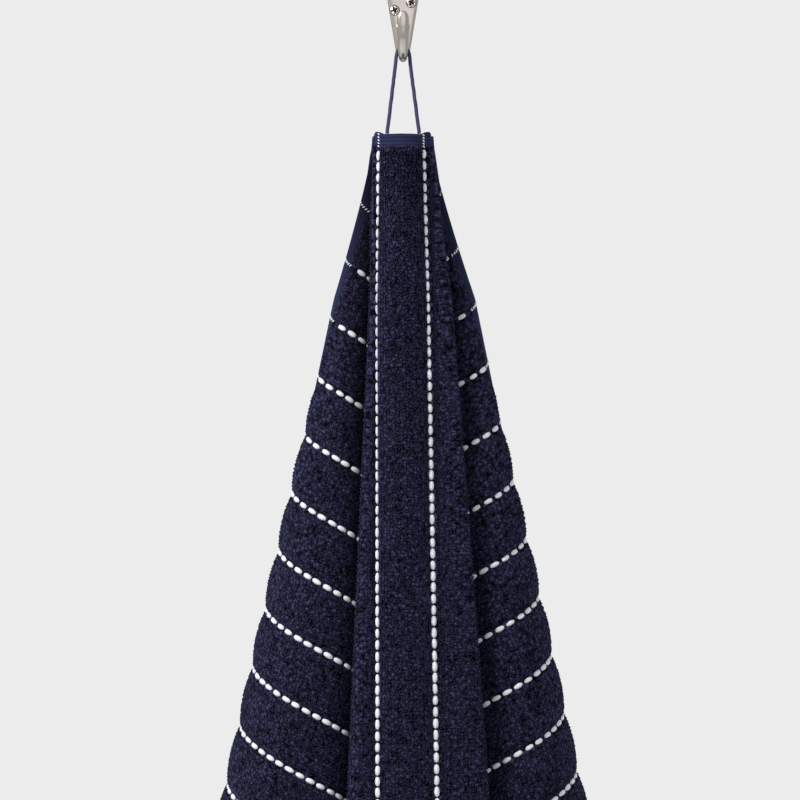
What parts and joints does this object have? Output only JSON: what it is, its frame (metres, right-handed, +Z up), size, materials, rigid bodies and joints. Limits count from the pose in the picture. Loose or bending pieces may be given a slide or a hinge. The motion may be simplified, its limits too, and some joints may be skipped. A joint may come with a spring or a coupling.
{
  "type": "bath towel on a wall hook",
  "caption": "Striped terry bath towel hanging in folds by its hem's cord loop from a plain metal wall hook.",
  "frame": {"origin": "on the wall, at the back face of the hook's plate, straight above the middle of the towel", "axes": "+Z up, +Y into the wall, +X to the right for someone who faces the wall; the towel hangs on the -Y side"},
  "size_m": [0.3802, 0.1106, 1.1054],
  "materials": {
    "terry": "matte",
    "cord": "matte",
    "nickel": "satin"
  },
  "bodies": {
    "root": {"towel": "terry", "loop": "cord", "hook": "nickel", "screw_left": "nickel", "screw_right": "nickel"}
  },
  "joints": []
}
